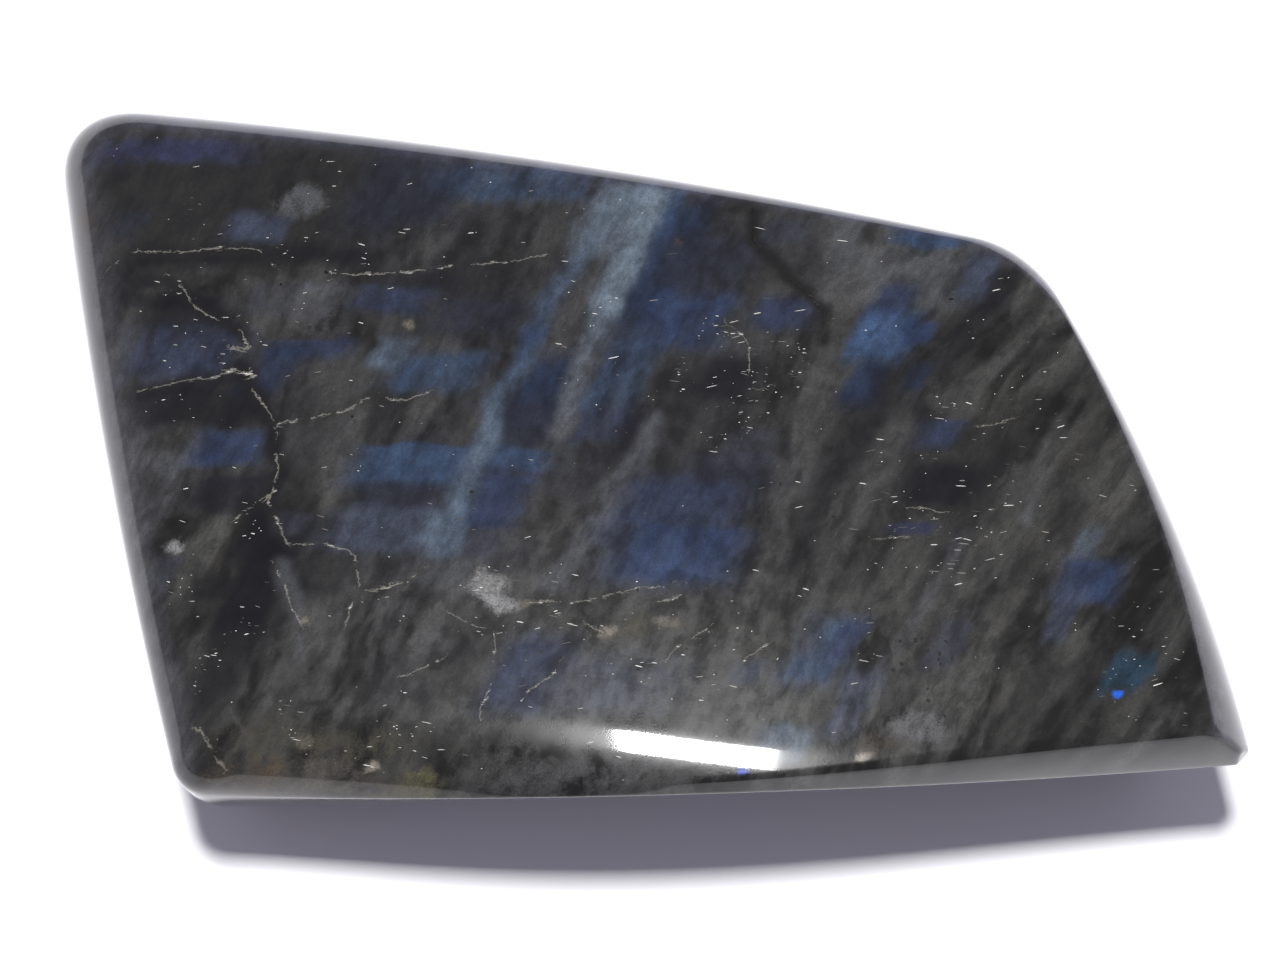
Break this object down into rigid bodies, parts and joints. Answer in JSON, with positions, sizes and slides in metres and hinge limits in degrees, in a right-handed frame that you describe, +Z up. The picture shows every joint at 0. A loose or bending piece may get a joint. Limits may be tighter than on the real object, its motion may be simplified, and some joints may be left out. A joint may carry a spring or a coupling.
{
  "type": "labradorite block",
  "caption": "Polished freeform slab of dark labradorite with a gently domed top, ground side facets and a flat base.",
  "frame": {"origin": "under the middle of the stone, on the flat base it rests on", "axes": "+X along the stone's length, +Y from the front facet to the back, +Z up through the polished top"},
  "size_m": [0.1236, 0.079, 0.0245],
  "materials": {
    "polished_labradorite": "polished, dark grey with blue flashes, pale lamellae and fine cracks"
  },
  "bodies": {
    "root": {"labradorite_block": "polished_labradorite"}
  },
  "joints": []
}
